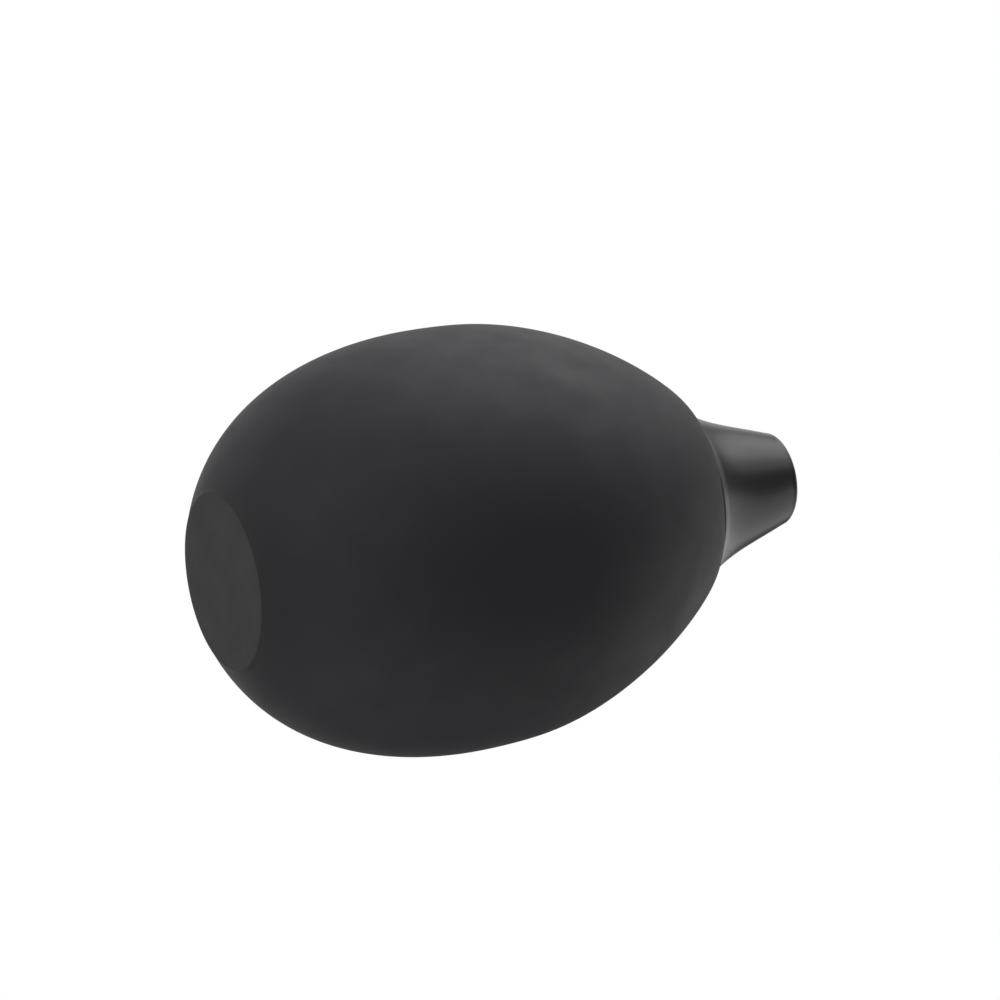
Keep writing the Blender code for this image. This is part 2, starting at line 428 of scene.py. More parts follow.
@dataclass(frozen=True)
class ScrewThread:
    """A right-hand moulded thread, shared by the nozzle's spigot and the collar's bore."""

    foot: float
    top: float
    pitch: float = 1.5 * MM
    depth: float = 0.45 * MM
    run_out: float = 0.5 * MM
    ring_gap: float = 0.075 * MM
    flank_slope: float = 0.9

    def share(self, height: float) -> float:
        """How much of the thread is there at a height: 1 along it, run out to 0 at its ends."""
        ends = min(height - self.foot, self.top - height) / self.run_out
        return min(max(ends, 0.0), 1.0)

    def rise(self, angle: float, height: float) -> float:
        """How far the thread stands out at a place, from 0 at its root to depth at its crest.

        Args:
            angle: Angle round the axis, in radians.
            height: Height above the base.

        Returns:
            The thread's height there, with the ends run out to nothing.
        """
        phase = (height / self.pitch - angle / math.tau) % 1.0
        slope = abs(phase - 0.5) * 4 - 1
        flank = min(max(0.5 - slope * self.flank_slope, 0.0), 1.0)
        return self.depth * flank * self.share(height)

    def rings(self, radius: float) -> list[Point]:
        """Outline points up the thread, close enough together to show its flanks."""
        count = round((self.top - self.foot) / self.ring_gap)
        return [lerp((radius, self.foot), (radius, self.top), i / count) for i in range(count + 1)]


THREAD_FROM_FOOT = 0.3 * MM
THREAD_FROM_SEAL = 0.5 * MM


def spigot_thread() -> ScrewThread:
    """The thread between the spigot's foot and the seal's groove."""
    foot = span_of("nozzle").foot + THREAD_FROM_FOOT
    return ScrewThread(foot=foot, top=span_of("nozzle_seal").foot - THREAD_FROM_SEAL)


# --------------------------------------------------------------------------------------
# Finishes
# --------------------------------------------------------------------------------------


NOISE_MIDDLE = (0.3, 0.7)  # where most of a noise's values lie
MIX_FIRST = 6  # sockets of a Mix node that mixes colours
MIX_SECOND = 7
MIX_RESULT = 2


@dataclass(frozen=True)
class ToneAndHighlightBand:
    """A level stretch of a piece in a colour of its own: neutral grey over the bulb's base, and a painted
    highlight at the foot of the nozzle's flare.
    """

    middle: float
    half_height: float
    fade: float
    colour: Colour
    evenness: float = 0.85


class NodePen:
    """Adds and joins shader nodes of one material."""

    def __init__(self, name: str) -> None:
        """Starts a material with a Principled shader.

        Args:
            name: The material's name.
        """
        self.material = bpy.data.materials.new(name)
        self.material.use_nodes = True
        self.tree = self.material.node_tree
        self.shader = self.tree.nodes["Principled BSDF"]
        self.output = self.tree.nodes["Material Output"]
        self.place = self.add("ShaderNodeTexCoord").outputs["Object"]

    def add(self, kind: str, **settings: object) -> bpy.types.Node:
        """Adds a node and sets its properties.

        Args:
            kind: The node's type name.
            **settings: Node properties to set.

        Returns:
            The new node.
        """
        node = self.tree.nodes.new(kind)
        for key, value in settings.items():
            setattr(node, key, value)
        return node

    def join(self, source: bpy.types.NodeSocket, target: bpy.types.NodeSocket) -> None:
        """Links an output to an input."""
        self.tree.links.new(source, target)

    def noise(self, feature: float, detail: float) -> bpy.types.NodeSocket:
        """A noise pattern fixed to the piece.

        Args:
            feature: Size of one blotch, in metres.
            detail: Octaves of finer noise.

        Returns:
            The pattern's value, 0 to 1.
        """
        noise = self.add("ShaderNodeTexNoise")
        noise.inputs["Scale"].default_value = 1 / feature
        noise.inputs["Detail"].default_value = detail
        self.join(self.place, noise.inputs["Vector"])
        return noise.outputs["Fac"]

    def ranged(self, value: bpy.types.NodeSocket, low: float, high: float) -> bpy.types.NodeSocket:
        """Stretches a noise's middle range onto low..high.

        Args:
            value: The noise.
            low: What its low end becomes.
            high: What its high end becomes.

        Returns:
            The stretched pattern.
        """
        spread = self.add("ShaderNodeMapRange")
        spread.inputs["From Min"].default_value = NOISE_MIDDLE[0]
        spread.inputs["From Max"].default_value = NOISE_MIDDLE[1]
        spread.inputs["To Min"].default_value = low
        spread.inputs["To Max"].default_value = high
        self.join(value, spread.inputs["Value"])
        return spread.outputs["Result"]

    def blended(
        self, share: bpy.types.NodeSocket, first: Colour | bpy.types.NodeSocket, second: Colour
    ) -> bpy.types.NodeSocket:
        """A colour between two, by a pattern.

        Args:
            share: The pattern: 0 gives the first colour, 1 the second.
            first: The first colour, or a pattern of colour.
            second: The second colour.

        Returns:
            The blended colour.
        """
        mix = self.add("ShaderNodeMix", data_type="RGBA")
        if isinstance(first, bpy.types.NodeSocket):
            self.join(first, mix.inputs[MIX_FIRST])
        else:
            mix.inputs[MIX_FIRST].default_value = (*first, 1.0)
        mix.inputs[MIX_SECOND].default_value = (*second, 1.0)
        self.join(share, mix.inputs["Factor"])
        return mix.outputs[MIX_RESULT]

    def band(self, tone_and_highlight: ToneAndHighlightBand, cloud: bpy.types.NodeSocket) -> bpy.types.NodeSocket:
        """How much of the band's colour each place takes; on the nozzle the band is a painted highlight.

        Args:
            tone_and_highlight: The band of another colour.
            cloud: A pattern that makes the band uneven.

        Returns:
            1 where the band is full, 0 away from it.
        """
        height = self.add("ShaderNodeSeparateXYZ")
        self.join(self.place, height.inputs[0])
        offset = self.add("ShaderNodeMath", operation="SUBTRACT")
        offset.inputs[1].default_value = tone_and_highlight.middle
        self.join(height.outputs["Z"], offset.inputs[0])
        away = self.add("ShaderNodeMath", operation="ABSOLUTE")
        self.join(offset.outputs[0], away.inputs[0])
        fall = self.add("ShaderNodeMapRange", interpolation_type="SMOOTHSTEP")
        fall.inputs["From Min"].default_value = tone_and_highlight.half_height
        fall.inputs["From Max"].default_value = tone_and_highlight.half_height + tone_and_highlight.fade
        fall.inputs["To Min"].default_value = 1.0
        fall.inputs["To Max"].default_value = 0.0
        self.join(away.outputs[0], fall.inputs["Value"])
        uneven = self.add("ShaderNodeMath", operation="MULTIPLY")
        self.join(fall.outputs["Result"], uneven.inputs[0])
        self.join(self.ranged(cloud, tone_and_highlight.evenness, 1.0), uneven.inputs[1])
        return uneven.outputs[0]

    def bump(self, pattern: bpy.types.NodeSocket, depth: float) -> None:
        """Adds surface relief from a pattern.

        Args:
            pattern: The relief's heights, 0 to 1.
            depth: How deep it goes, in metres.
        """
        node = self.add("ShaderNodeBump")
        node.inputs["Strength"].default_value = 1.0
        node.inputs["Distance"].default_value = depth
        self.join(pattern, node.inputs["Height"])
        self.join(node.outputs["Normal"], self.shader.inputs["Normal"])


@dataclass(frozen=True)
class MouldedFinish:
    """A moulded rubber or plastic surface with fine mould grain, faint mottling and handling marks."""

    name: str
    colour: Colour
    mottle: Colour
    roughness: tuple[float, float]
    grain: float = 0.16 * MM
    grain_depth: float = 0.004 * MM
    blotch: float = 9 * MM
    handling: float = 5.4 * MM
    scatter: float = 0.0
    scatter_reach: float = 1.0 * MM
    tone_and_highlight: ToneAndHighlightBand | None = None

    def material(self) -> bpy.types.Material:
        """The finish as a procedural material.

        Returns:
            The material.
        """
        pen = NodePen(self.name)
        cloud = pen.noise(self.blotch, detail=4)
        shade = pen.blended(pen.ranged(cloud, 0, 1), self.colour, self.mottle)
        # The band's colour: neutral grey on the bulb's base, a painted highlight on the nozzle's flange
        # foot.
        if self.tone_and_highlight:
            shade = pen.blended(pen.band(self.tone_and_highlight, cloud), shade, self.tone_and_highlight.colour)
        pen.join(shade, pen.shader.inputs["Base Color"])
        rub = pen.noise(self.handling, detail=5)
        pen.join(pen.ranged(rub, *self.roughness), pen.shader.inputs["Roughness"])
        pen.bump(pen.noise(self.grain, detail=1.5), self.grain_depth)
        pen.shader.inputs["Subsurface Weight"].default_value = self.scatter
        pen.shader.inputs["Subsurface Scale"].default_value = self.scatter_reach
        return pen.material


@dataclass(frozen=True)
class FloorFinish:
    """A pale matt floor that is open from below, so that the underside of the blower can be looked at."""

    name: str = "pale_floor"
    colour: Colour = (0.80, 0.80, 0.79)
    mottle: Colour = (0.78, 0.78, 0.775)
    blotch: float = 60 * MM
    roughness: float = 0.9
    specular: float = 0.2

    def material(self) -> bpy.types.Material:
        """The finish as a procedural material.

        Returns:
            The material.
        """
        pen = NodePen(self.name)
        cloud = pen.noise(self.blotch, detail=3)
        shade = pen.blended(pen.ranged(cloud, 0, 1), self.colour, self.mottle)
        pen.join(shade, pen.shader.inputs["Base Color"])
        pen.shader.inputs["Roughness"].default_value = self.roughness
        pen.shader.inputs["Specular IOR Level"].default_value = self.specular
        under = pen.add("ShaderNodeNewGeometry").outputs["Backfacing"]
        open_side = pen.add("ShaderNodeBsdfTransparent")
        mix = pen.add("ShaderNodeMixShader")
        pen.join(under, mix.inputs[0])
        pen.join(pen.shader.outputs[0], mix.inputs[1])
        pen.join(open_side.outputs[0], mix.inputs[2])
        pen.join(mix.outputs[0], pen.output.inputs["Surface"])
        return pen.material


# --------------------------------------------------------------------------------------
# Pieces
# --------------------------------------------------------------------------------------


@dataclass
class TurnedPiece:
    """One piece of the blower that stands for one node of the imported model."""

    name: str
    node: str
    body: Body
    slot: Slot
    finish: MouldedFinish
    steps: int = 96

    def outline(self) -> list[Point]:
        """The piece's closed outline; each kind of piece has its own."""
        raise NotImplementedError

    def build(self) -> bpy.types.Object:
        """Makes the mesh."""
        return turned(self.name, self.outline(), self.steps)

    def dress(self, obj: bpy.types.Object) -> None:
        """Gives the mesh its finish."""
        obj.data.materials.clear()
        obj.data.materials.append(self.finish.material())

    def place(self) -> bpy.types.Object:
        """Builds and dresses the piece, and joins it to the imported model.

        Returns:
            The finished object.
        """
        obj = self.build()
        self.dress(obj)
        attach(obj, self.body.value)
        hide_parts(self.node)
        log.info("%s: %d faces, rides on %s", self.name, len(obj.data.polygons), self.body.value)
        return obj


@dataclass
class RubberBulb(TurnedPiece):
    """The one-piece rubber bulb: flat base disc, full belly, long taper, rounded shoulder and open mouth.

    From skin_inner to skin_outer, and from a little above the belly up, the rubber gives more
    and more, so the neck's outer skin leans and the lip drops while the mouth stays true.
    """

    base_r: float = 12.62 * MM
    base_rings: tuple[float, ...] = (0.5, 0.9)
    base_edge: float = 0.5 * MM
    base_spread_deg: float = 63.2
    base_pull: float = 22.5 * MM
    belly_r: float = 30.0 * MM
    belly_z: float = 38.3 * MM
    belly_pull_below: float = 1.9 * MM
    belly_pull_above: float = 16.2 * MM
    shoulder_r: float = 16.2 * MM
    shoulder_z: float = 71.4 * MM
    shoulder_lean_deg: float = 49.4
    shoulder_pull: float = 3.4 * MM
    lip_r: float = 13.0 * MM
    lip_z: float = span_of("bulb").top
    lip_turn: float = 1.2 * MM
    lip_wall: float = 3.0 * MM
    mouth_r: float = 9.3 * MM
    mouth_edge: float = 0.4 * MM
    wall: float = 2.6 * MM
    floor: float = 4.0 * MM
    squeeze_travel: float = 20.0 * MM
    curve_steps: int = 56
    chamber_steps: int = 24
    edge_steps: int = 6
    ease_steps: int = 150
    ease_passes: int = 60
    ease_reach: float = 24.0 * MM
    skin_inner: float = 11.0 * MM
    skin_outer: float = 14.5 * MM
    lean: float = 0.25 * MM
    lean_from: float = 44.3 * MM
    lean_full: float = 66.4 * MM
    lip_drop: float = 0.27 * MM
    lip_drop_reach: float = 12.0 * MM
    lip_drop_from: float = -6.0 * MM
    lip_drop_full: float = 1.0 * MM

    def eased(self, side: Sequence[Point]) -> list[Point]:
        """The side's outline with its bend at the belly spread over the neighbouring rubber.

        Args:
            side: Points from the base's edge to the shoulder.

        Returns:
            Evenly spaced points of the eased side.
        """
        even = evenly_spaced(side, self.ease_steps)
        once = softened(even, self.ease_passes)
        twice = softened(once, self.ease_passes)
        made = []
        for here, first, second in zip(even, once, twice):
            eased = (2 * first[0] - second[0], 2 * first[1] - second[1])
            away = abs(here[1] - self.belly_z)
            made.append(lerp(eased, here, ramp(away, self.ease_reach / 2, self.ease_reach)))
        return made

    def settled(self, place: Vector) -> Vector:
        """Where a point of the rubber comes to rest: the soft neck leans a little, and the lip sits aslant.

        Args:
            place: The point on the evenly turned bulb.

        Returns:
            The point on the bulb as moulded.
        """
        radius = math.hypot(place.x, place.y)
        skin = ramp(radius, self.skin_inner, self.skin_outer)
        neck = skin * ramp(place.z, self.lean_from, self.lean_full)
        lip = skin * ramp(place.z, self.shoulder_z - self.lip_drop_reach, self.shoulder_z)
        sink = self.lip_drop * ramp(place.x, self.lip_drop_from, self.lip_drop_full)
        return Vector((place.x - self.lean * neck, place.y, place.z - sink * lip))

    def outside(self, steps: int) -> list[Point]:
        """The outer outline from the base's edge to the flat of the lip.

        Args:
            steps: Straight pieces in each of the two long curves.

        Returns:
            Points from the base up.
        """
        cut = self.base_edge * math.tan(math.radians(self.base_spread_deg / 2))
        centre = (self.base_r - cut, self.base_edge)
        foot = arc(centre, self.base_edge, -90, self.base_spread_deg - 90, self.edge_steps)
        base = foot[-1]
        belly = (self.belly_r, self.belly_z)
        shoulder = (self.shoulder_r, self.shoulder_z)
        below = cubic(
            base,
            step_from(base, self.base_spread_deg, self.base_pull - cut),
            (self.belly_r, self.belly_z - self.belly_pull_below),
            belly,
            steps,
        )
        above = cubic(
            belly,
            (self.belly_r, self.belly_z + self.belly_pull_above),
            step_from(shoulder, 180 - self.shoulder_lean_deg, self.shoulder_pull),
            shoulder,
            steps,
        )
        lip = cubic(
            shoulder,
            step_from(shoulder, -self.shoulder_lean_deg, self.lip_turn),
            (self.lip_r + self.lip_turn, self.lip_z),
            (self.lip_r, self.lip_z),
            max(steps // 4, 4),
        )
        return foot[:-1] + self.eased(below + above[1:]) + lip[1:]

    def inside(self) -> list[Point]:
        """The air chamber's outline from the floor to the roof, a wall's thickness inside.

        Returns:
            The outline's points, in order.
        """
        outside = self.outside(self.chamber_steps)
        roof = self.lip_z - self.lip_wall
        moved = []
        for before, here, after in zip(outside, outside[1:], outside[2:]):
            length = distance(before, after)
            lean = ((after[0] - before[0]) / length, (after[1] - before[1]) / length)
            moved.append((here[0] - self.wall * lean[1], here[1] + self.wall * lean[0]))
        kept = [p for p in moved if self.floor + self.wall / 2 < p[1] < roof - self.wall / 2]
        return [(kept[0][0] - self.wall, self.floor), *kept, (kept[-1][0] - self.wall, roof)]

    def outline(self) -> list[Point]:
        """The whole shell's outline, outside and inside.

        Returns:
            The closed outline's points, in order.
        """
        shape = Outline().corner(0.0, 0.0)
        shape.run([(self.base_r * share, 0.0) for share in self.base_rings])
        shape.run(self.outside(self.curve_steps))
        shape.corner(self.mouth_r, self.lip_z, self.mouth_edge)
        shape.corner(self.mouth_r, self.lip_z - self.lip_wall, self.mouth_edge)
        shape.run(self.inside()[::-1])
        shape.corner(0.0, self.floor)
        return shape.finished()

    def build(self) -> bpy.types.Object:
        """Turns the bulb and lets its neck settle.

        Returns:
            The bulb.
        """
        bulb = super().build()
        for vertex in bulb.data.vertices:
            vertex.co = self.settled(vertex.co)
        return bulb

    def place(self) -> bpy.types.Object:
        """Places the bulb and gives it a mesh of its own.

        Returns:
            The bulb.
        """
        obj = super().place()
        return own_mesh(obj)


@dataclass
class FlaredNozzle(TurnedPiece):
    """The hard nozzle: thin flange, trumpet flare, blunt cone, jet, and a spigot with a seal groove."""

    flange_z: float = span_of("bulb").top + AIR_SLIT
    flange_r: float = 13.3 * MM
    rim_edge: float = 0.42 * MM
    rim_height: float = 0.5 * MM
    rim_turn: float = 0.35 * MM
    flare_lean_deg: float = 35.0
    flare_pull: float = 6.0 * MM
    cone_lean_deg: float = 19.0
    cone_pull: float = 6.0 * MM
    end_r: float = 6.95 * MM
    end_z: float = span_of("nozzle").top
    end_round: float = 0.8 * MM
    spigot_r: float = 6.1 * MM
    spigot_lead: float = 0.6 * MM
    spigot_foot: float = span_of("nozzle").foot
    bore_r: float = 3.6 * MM
    bore_neck_z: float = 78.0 * MM
    jet_r: float = 1.6 * MM
    jet_z: float = 86.0 * MM
    jet_mouth_r: float = 2.4 * MM
    jet_mouth_depth: float = 0.8 * MM
    groove_r: float = 5.0 * MM
    groove_side: float = 0.3 * MM
    groove_edge: float = 0.08 * MM
    fine_edge: float = 0.1 * MM
    edge: float = 0.2 * MM
    bore_edge: float = 0.5 * MM
    flange_fillet: float = 0.25 * MM
    thread_sink: float = 0.27 * MM
    thread: ScrewThread = field(default_factory=spigot_thread)
    rim_steps: int = 6
    arc_steps: int = 8
    flare_steps: int = 40

    def outside(self) -> list[Point]:
        """The outer outline from the back of the flange to the end face.

        Returns:
            The outline's points, in order.
        """
        edge = (self.flange_r - self.rim_edge, self.flange_z + self.rim_edge)
        turn = (self.flange_r - self.rim_turn, self.flange_z + self.rim_height)
        rim = arc(edge, self.rim_edge, -90, 0, self.rim_steps)
        rim += arc(turn, self.rim_turn, 0, self.flare_lean_deg, self.arc_steps)
        end = (self.end_r, self.end_z - self.end_round)
        flare = cubic(
            rim[-1],
            step_from(rim[-1], -self.flare_lean_deg, self.flare_pull),
            step_from(end, 180 - self.cone_lean_deg, self.cone_pull),
            end,
            self.flare_steps,
        )
        tip = arc((end[0] - self.end_round, end[1]), self.end_round, 0, 90, self.arc_steps)
        return rim + flare[1:] + tip[1:]

    def outline(self) -> list[Point]:
        """The whole nozzle's outline.

        Returns:
            The closed outline's points, in order.
        """
        seal = span_of("nozzle_seal")
        low = seal.foot - self.groove_side
        high = seal.top + self.groove_side
        shape = Outline().corner(self.spigot_r - self.spigot_lead, self.spigot_foot, self.fine_edge)
        shape.run(self.thread.rings(self.spigot_r - self.thread_sink))
        shape.corner(self.spigot_r, low, self.groove_edge)
        shape.corner(self.groove_r, low, self.fine_edge)
        shape.corner(self.groove_r, high, self.fine_edge)
        shape.corner(self.spigot_r, high, self.groove_edge)
        shape.corner(self.spigot_r, self.flange_z, self.flange_fillet)
        shape.run(self.outside())
        shape.corner(self.jet_mouth_r, self.end_z, self.edge)
        shape.corner(self.jet_r, self.end_z - self.jet_mouth_depth, self.edge)
        shape.corner(self.jet_r, self.jet_z, self.bore_edge)
        shape.corner(self.bore_r, self.bore_neck_z, self.bore_edge)
        shape.corner(self.bore_r, self.spigot_foot, self.edge)
        return shape.finished()

    def relief(self, angle: float, radius: float, height: float) -> float:
        """How far the spigot's thread stands out at a place on the mesh.

        Args:
            angle: Angle round the axis, in radians.
            radius: The outline's radius there.
            height: The outline's height there.

        Returns:
            What to add to the radius.
        """
        on_spigot = radius > (self.bore_r + self.spigot_r) / 2
        return self.thread.rise(angle, height) if on_spigot else 0.0

    def build(self) -> bpy.types.Object:
        """Makes the mesh with its thread."""
        return turned(self.name, self.outline(), self.steps, self.relief)


FLAP_PLAY = 0.3 * MM  # between the closed intake flap and the collar's flange


@dataclass
class CollarInsert(TurnedPiece):
    """The plastic insert bonded into the mouth: threaded bore, slotted barrel, flange and valve tube."""

    top: float = span_of("neck_collar").top
    foot: float = span_of("neck_collar").foot
    flange_r: float = span_of("neck_collar").radius
    flange_under: float = span_of("intake_flap").top + FLAP_PLAY
    flange_t: float = 2.0 * MM
    bore_r: float = 6.4 * MM
    barrel_r: float = 9.0 * MM
    tube_r: float = 7.3 * MM
    ledge_r: float = 5.4 * MM
    ledge_t: float = 1.0 * MM
    slots: int = 6
    slot_inner_r: float = 7.8 * MM
    slot_w: float = 3.0 * MM
    slot_past: float = 0.3 * MM
    edge: float = 0.2 * MM
    thread: ScrewThread = field(default_factory=spigot_thread)
    thread_land: float = 0.42 * MM

    def outline(self) -> list[Point]:
        """The collar's outline before the slots are cut.

        Returns:
            The closed outline's points, in order.
        """
        flange_top = self.flange_under + self.flange_t
        shape = Outline().corner(self.bore_r, self.top, self.edge)
        shape.corner(self.barrel_r, self.top, self.edge).corner(self.barrel_r, flange_top, self.edge)
        shape.corner(self.flange_r, flange_top, 2 * self.edge)
        shape.corner(self.flange_r, self.flange_under, 2 * self.edge)
        shape.corner(self.tube_r, self.flange_under, self.edge).corner(self.tube_r, self.foot, self.edge)
        shape.corner(self.ledge_r, self.foot, self.edge)
        shape.corner(self.ledge_r, self.foot + self.ledge_t, self.edge)
        shape.corner(self.bore_r, self.foot + self.ledge_t, self.edge)
        shape.run(self.thread.rings(self.bore_r))
        return shape.finished(4)

    def relief(self, angle: float, radius: float, height: float) -> float:
        """The bore's thread, which the spigot's runs in with a little play.

        Args:
            angle: Angle round the axis, in radians.
            radius: The outline's radius there.
            height: The outline's height there.

        Returns:
            What to add to the radius.
        """
        if radius > self.bore_r:
            return 0.0
        return self.thread.rise(angle, height) - self.thread_land * self.thread.share(height)

    def build(self) -> bpy.types.Object:
        """Turns the collar and cuts its air slots.

        Returns:
            The collar.
        """
        collar = turned(self.name, self.outline(), self.steps, self.relief)
        half = self.slot_w / 2
        inner = self.slot_inner_r
        outer = self.barrel_r + self.slot_past
        shape = [(inner, -half), (outer, -half), (outer, half), (inner, half)]
        carve(collar, prism("slot_cutter", shape, self.flange_under - MM, self.top + MM, self.slots))
        return collar


@dataclass
class FlatRing(TurnedPiece):
    """A ring with softened edges round the collar's tube: the loose flap, or the ring that stops it."""

    inner_r: float = 7.6 * MM
    edge: float = 0.15 * MM

    def outline(self) -> list[Point]:
        """The ring's cross-section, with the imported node's radius and thickness."""
        return hoop(self.inner_r, span_of(self.node), self.edge)


@dataclass
class SeatDisc(TurnedPiece):
    """The perforated disc that the mushroom valve closes."""

    stem_hole_r: float = 1.2 * MM
    ports: int = 6
    port_r: float = 0.9 * MM
    port_circle_r: float = 3.6 * MM
    port_steps: int = 24
    edge: float = 0.15 * MM

    def outline(self) -> list[Point]:
        """The disc's cross-section before the ports are cut."""
        return hoop(self.stem_hole_r, span_of(self.node), self.edge)

    def build(self) -> bpy.types.Object:
        """Turns the disc and bores its ports.

        Returns:
            The disc.
        """
        disc = super().build()
        span = span_of(self.node)
        port = circle((self.port_circle_r, 0.0), self.port_r, self.port_steps)
        carve(disc, prism("port_cutter", port, span.foot - MM, span.top + MM, self.ports))
        return disc


@dataclass
class MushroomValve(TurnedPiece):
    """The outlet valve: a thin domed disc with a barbed stem, in one silicone piece."""

    rim_t: float = 0.5 * MM
    crown_t: float = 1.1 * MM
    stem_r: float = 0.9 * MM
    barb_r: float = 1.7 * MM
    barb_length: float = 1.0 * MM
    foot_edge: float = 0.2 * MM
    barb_edge: float = 0.15 * MM
    neck_edge: float = 0.1 * MM
    rim_edge: float = 0.12 * MM
    dome_pulls: tuple[float, float] = (0.7, 0.35)
    dome_steps: int = 14

    def outline(self) -> list[Point]:
        """The valve's half section.

        Returns:
            The closed outline's points, in order.
        """
        span = span_of(self.node)
        foot = span.top - self.crown_t
        rim = foot + self.rim_t
        barb_top = span.foot + self.barb_length
        shape = Outline().corner(0.0, span.foot).corner(self.stem_r, span.foot, self.foot_edge)
        shape.corner(self.barb_r, barb_top, self.barb_edge)
        shape.corner(self.stem_r, barb_top, self.neck_edge)
        shape.corner(self.stem_r, foot, self.foot_edge).corner(span.radius, foot, self.rim_edge)
        pulls = [(span.radius * share, span.top) for share in self.dome_pulls]
        dome = cubic((span.radius, rim), *pulls, (0.0, span.top), self.dome_steps)
        return shape.run(dome).finished(4)


@dataclass
class SealRing(TurnedPiece):
    """The rubber ring in the spigot's groove."""

    cord_steps: int = 24

    def outline(self) -> list[Point]:
        """The ring's round cross-section.

        Returns:
            The closed outline's points, in order.
        """
        span = span_of(self.node)
        cord_r = (span.top - span.foot) / 2
        return circle((span.radius - cord_r, span.foot + cord_r), cord_r, self.cord_steps)


# --------------------------------------------------------------------------------------
# Studio
# --------------------------------------------------------------------------------------


@dataclass(frozen=True)
class ViewPoint:
    """Where the main camera stands: below the base and turned, so that the blower lies on its side."""

    target: Place = (-0.00419, -0.00579, 0.04146)
    elevation_deg: float = -26.79
    roll_deg: float = 79.61
    distance: float = 0.6
    lens: float = 153.3
    sensor_width: float = 36.0

    def turn(self) -> Matrix:
        """The camera's rotation, as a matrix from camera to frame axes."""
        tilt = Matrix.Rotation(math.radians(90 - self.elevation_deg), 3, "X")
        return tilt @ Matrix.Rotation(math.radians(self.roll_deg), 3, "Z")

    def place(self) -> bpy.types.Object:
        """Makes the camera and makes it the scene's.

        Returns:
            The camera.
        """
        data = bpy.data.cameras.new("main_camera")
        data.lens = self.lens
        data.sensor_width = self.sensor_width
        camera = bpy.data.objects.new("main_camera", data)
        turn = self.turn()
        spot = Vector(self.target) + turn @ Vector((0, 0, self.distance))
        camera.matrix_world = Matrix.Translation(spot) @ turn.to_4x4()
        bpy.context.scene.collection.objects.link(camera)
        bpy.context.scene.camera = camera
        return camera


@dataclass(frozen=True)
class SoftBox:
    """A large round soft light, placed as the main camera sees it."""

    name: str
    right: float
    up: float
    toward: float
    half_angle_deg: float
    brightness: float
    distance: float = 0.9

    def place(self, view: ViewPoint) -> bpy.types.Object:
        """Makes the light, aimed at the blower.

        Args:
            view: The main camera, whose axes the light's place is given in.

        Returns:
            The light.
        """
        data = bpy.data.lights.new(self.name, "AREA")
        data.shape = "DISK"
        data.size = 2 * self.distance * math.tan(math.radians(self.half_angle_deg))
        data.energy = self.brightness * (math.pi * data.size / 2) ** 2
        light = bpy.data.objects.new(self.name, data)
        way = (view.turn() @ Vector((self.right, self.up, self.toward))).normalized()
        light.location = Vector(view.target) + way * self.distance
        light.rotation_mode = "QUATERNION"
        light.rotation_quaternion = way.to_track_quat("Z", "Y")
        bpy.context.scene.collection.objects.link(light)
        return light


@dataclass
class Studio:
    """A pale floor, a white surround and soft lights."""

    view: ViewPoint = ViewPoint()
    surround: float = 0.117
    floor_drop: float = 0.4 * MM
    floor_r: float = 0.8
    floor_sides: int = 128

    def lights(self) -> list[SoftBox]:
        """The soft boxes round the blower.

        Returns:
            One soft box for each light.
        """
        return [
            SoftBox("top_back", 0.453, 0.808, -0.377, 26.9, 0.959),
            SoftBox("right_back", 0.801, -0.345, -0.489, 26.3, 0.786),
            SoftBox("back_left", -0.502, 0.211, -0.839, 47.5, 0.669),
            SoftBox("below", -0.206, -0.930, 0.303, 42.3, 0.589),
            SoftBox("top_right", 0.665, 0.731, -0.151, 26.4, 0.822),
            SoftBox("top", 0.175, 0.954, -0.242, 25.7, 1.275),
            SoftBox("front_left", -0.479, 0.501, 0.721, 41.9, 0.804),
            SoftBox("back_right", 0.526, 0.034, -0.850, 19.3, 0.648),
        ]

    def lay_floor(self) -> bpy.types.Object:
        """Makes the floor just under the base.

        Returns:
            The floor.
        """
        bm = bmesh.new()
        rim = circle((0.0, 0.0), self.floor_r, self.floor_sides)
        bm.faces.new([bm.verts.new((x, y, -self.floor_drop)) for x, y in rim])
        mesh = bpy.data.meshes.new("floor")
        bm.to_mesh(mesh)
        bm.free()
        floor = bpy.data.objects.new("floor", mesh)
        bpy.context.scene.collection.objects.link(floor)
        mesh.materials.append(FloorFinish().material())
        floor.visible_shadow = False
        floor.visible_diffuse = False
        floor.visible_glossy = False
        floor.visible_transmission = False
        return floor

    def surround_world(self) -> None:
        """White to the eye, and a dimmer even fill to the blower."""
        world = bpy.data.worlds.new("surround")
        world.use_nodes = True
        tree = world.node_tree
        background = tree.nodes["Background"]
        background.inputs["Color"].default_value = (1.0, 1.0, 1.0, 1.0)
        seen = tree.nodes.new("ShaderNodeLightPath")
        strength = tree.nodes.new("ShaderNodeMapRange")
        strength.inputs["To Min"].default_value = self.surround
        strength.inputs["To Max"].default_value = 1.0
        tree.links.new(seen.outputs["Is Camera Ray"], strength.inputs["Value"])
        tree.links.new(strength.outputs["Result"], background.inputs["Strength"])
        bpy.context.scene.world = world

    def set_up(self) -> None:
        """Lays the floor and places the surround, the lights and the camera."""
        self.lay_floor()
        self.surround_world()
        for light in self.lights():
            light.place(self.view)
        self.view.place()
        bpy.context.scene.view_settings.view_transform = "Standard"
        log.info("studio: %d soft boxes", len(self.lights()))


# --------------------------------------------------------------------------------------
# The blower
# --------------------------------------------------------------------------------------


RIM_HIGHLIGHT_RISE = 0.95 * MM  # from the flange's underside to the middle of its painted highlight band
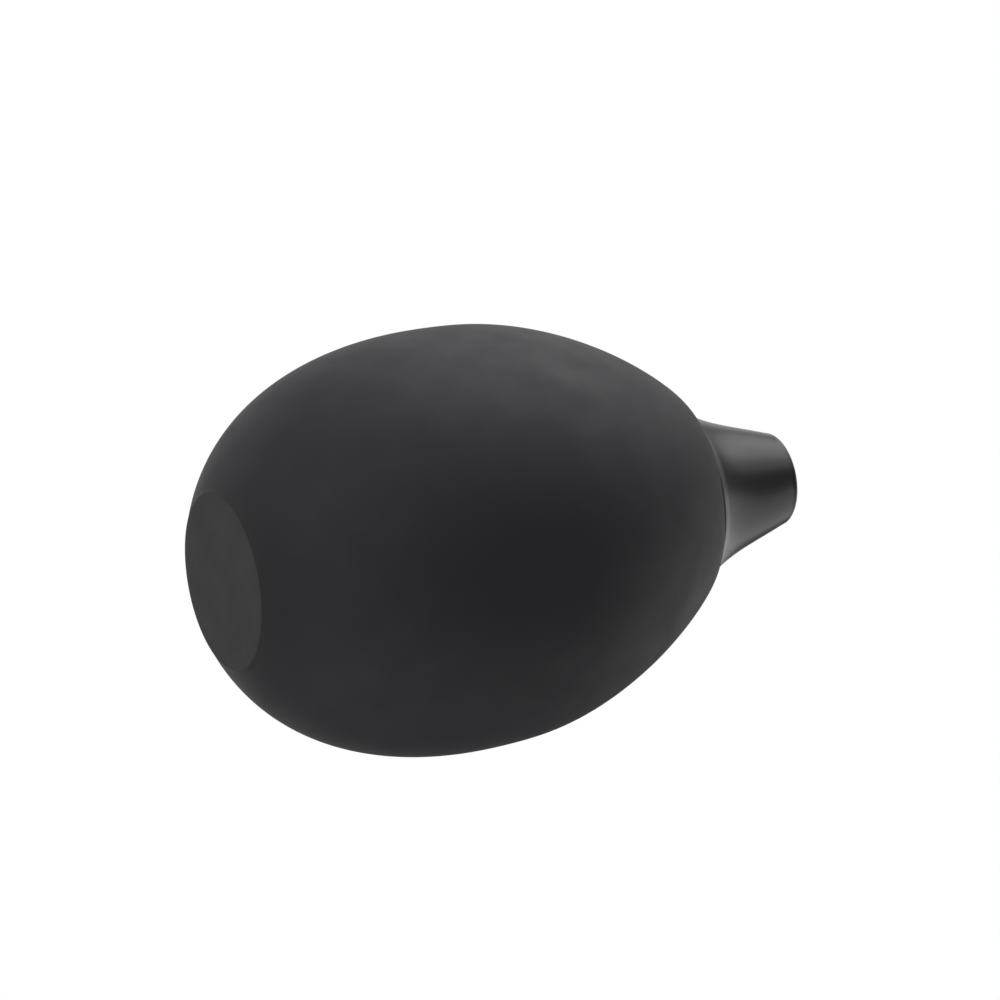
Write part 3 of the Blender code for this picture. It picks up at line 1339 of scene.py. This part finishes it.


def blower_pieces() -> list[TurnedPiece]:
    """Every piece of the blower, from the bulb to the seal.

    Returns:
        The pieces, with their finishes.
    """
    rubber = MouldedFinish(
        name="black_rubber",
        colour=(0.0178, 0.0173, 0.0217),
        mottle=(0.0207, 0.0202, 0.0248),
        roughness=(0.61, 0.69),
        grain_depth=0.002 * MM,
        # A neutral grey band over the base and its rounded edge.
        tone_and_highlight=ToneAndHighlightBand(
            middle=0.0, half_height=0.2 * MM, fade=0.8 * MM, colour=(0.0200, 0.0200, 0.0200)
        ),
    )
    satin = MouldedFinish(
        name="satin_black_plastic",
        colour=(0.019, 0.019, 0.019),
        mottle=(0.021, 0.021, 0.021),
        roughness=(0.29, 0.31),
        grain_depth=0.0003 * MM,
        # Painted highlight: a light grey band at the foot of the flare, beside the air slit, stands in for
        # the light that the flange's rounded rim catches.
        tone_and_highlight=ToneAndHighlightBand(
            middle=span_of("bulb").top + AIR_SLIT + RIM_HIGHLIGHT_RISE,
            half_height=0.35 * MM,
            fade=0.7 * MM,
            colour=(0.10, 0.10, 0.10),
        ),
    )
    seal_rubber = MouldedFinish(
        name="seal_rubber",
        colour=(0.015, 0.015, 0.015),
        mottle=(0.022, 0.022, 0.022),
        roughness=(0.35, 0.5),
    )
    nylon = MouldedFinish(
        name="natural_nylon",
        colour=(0.58, 0.57, 0.53),
        mottle=(0.50, 0.49, 0.45),
        roughness=(0.38, 0.5),
        scatter=0.15,
        grain_depth=0.002 * MM,
    )
    grey = MouldedFinish(
        name="grey_plastic",
        colour=(0.28, 0.28, 0.28),
        mottle=(0.33, 0.33, 0.33),
        roughness=(0.35, 0.5),
    )
    silicone = MouldedFinish(
        name="cream_silicone",
        colour=(0.58, 0.52, 0.43),
        mottle=(0.50, 0.45, 0.37),
        roughness=(0.45, 0.6),
        scatter=0.3,
    )
    return [
        RubberBulb("rubber_bulb", "bulb", Body.BULB, Slot.BULB, rubber, 192),
        FlaredNozzle("flared_nozzle", "nozzle", Body.NOZZLE, Slot.NOZZLE, satin, 160),
        SealRing("seal_ring", "nozzle_seal", Body.SEAL, Slot.SEAL, seal_rubber),
        CollarInsert("collar_insert", "neck_collar", Body.NECK, Slot.COLLAR, nylon),
        FlatRing("retainer_ring", "flap_retainer", Body.NECK, Slot.RETAINER, grey),
        FlatRing("floating_flap", "intake_flap", Body.INTAKE_FLAP, Slot.VALVE, silicone, edge=0.1 * MM),
        SeatDisc("seat_disc", "valve_seat", Body.NECK, Slot.SEAT, nylon),
        MushroomValve("mushroom_valve", "exhaust_valve", Body.EXHAUST_VALVE, Slot.VALVE, silicone),
    ]


def corners(box: tuple[Vector, Vector]) -> list[list[float]]:
    """A box's two corners as plain lists of numbers."""
    return [[float(value) for value in corner] for corner in box]


def main() -> None:
    """Builds every piece and the studio."""
    logging.basicConfig(level=logging.INFO, format="%(name)s: %(message)s")
    for piece in blower_pieces():
        piece.place()
    Studio().set_up()


if __name__ == "__main__":
    main()
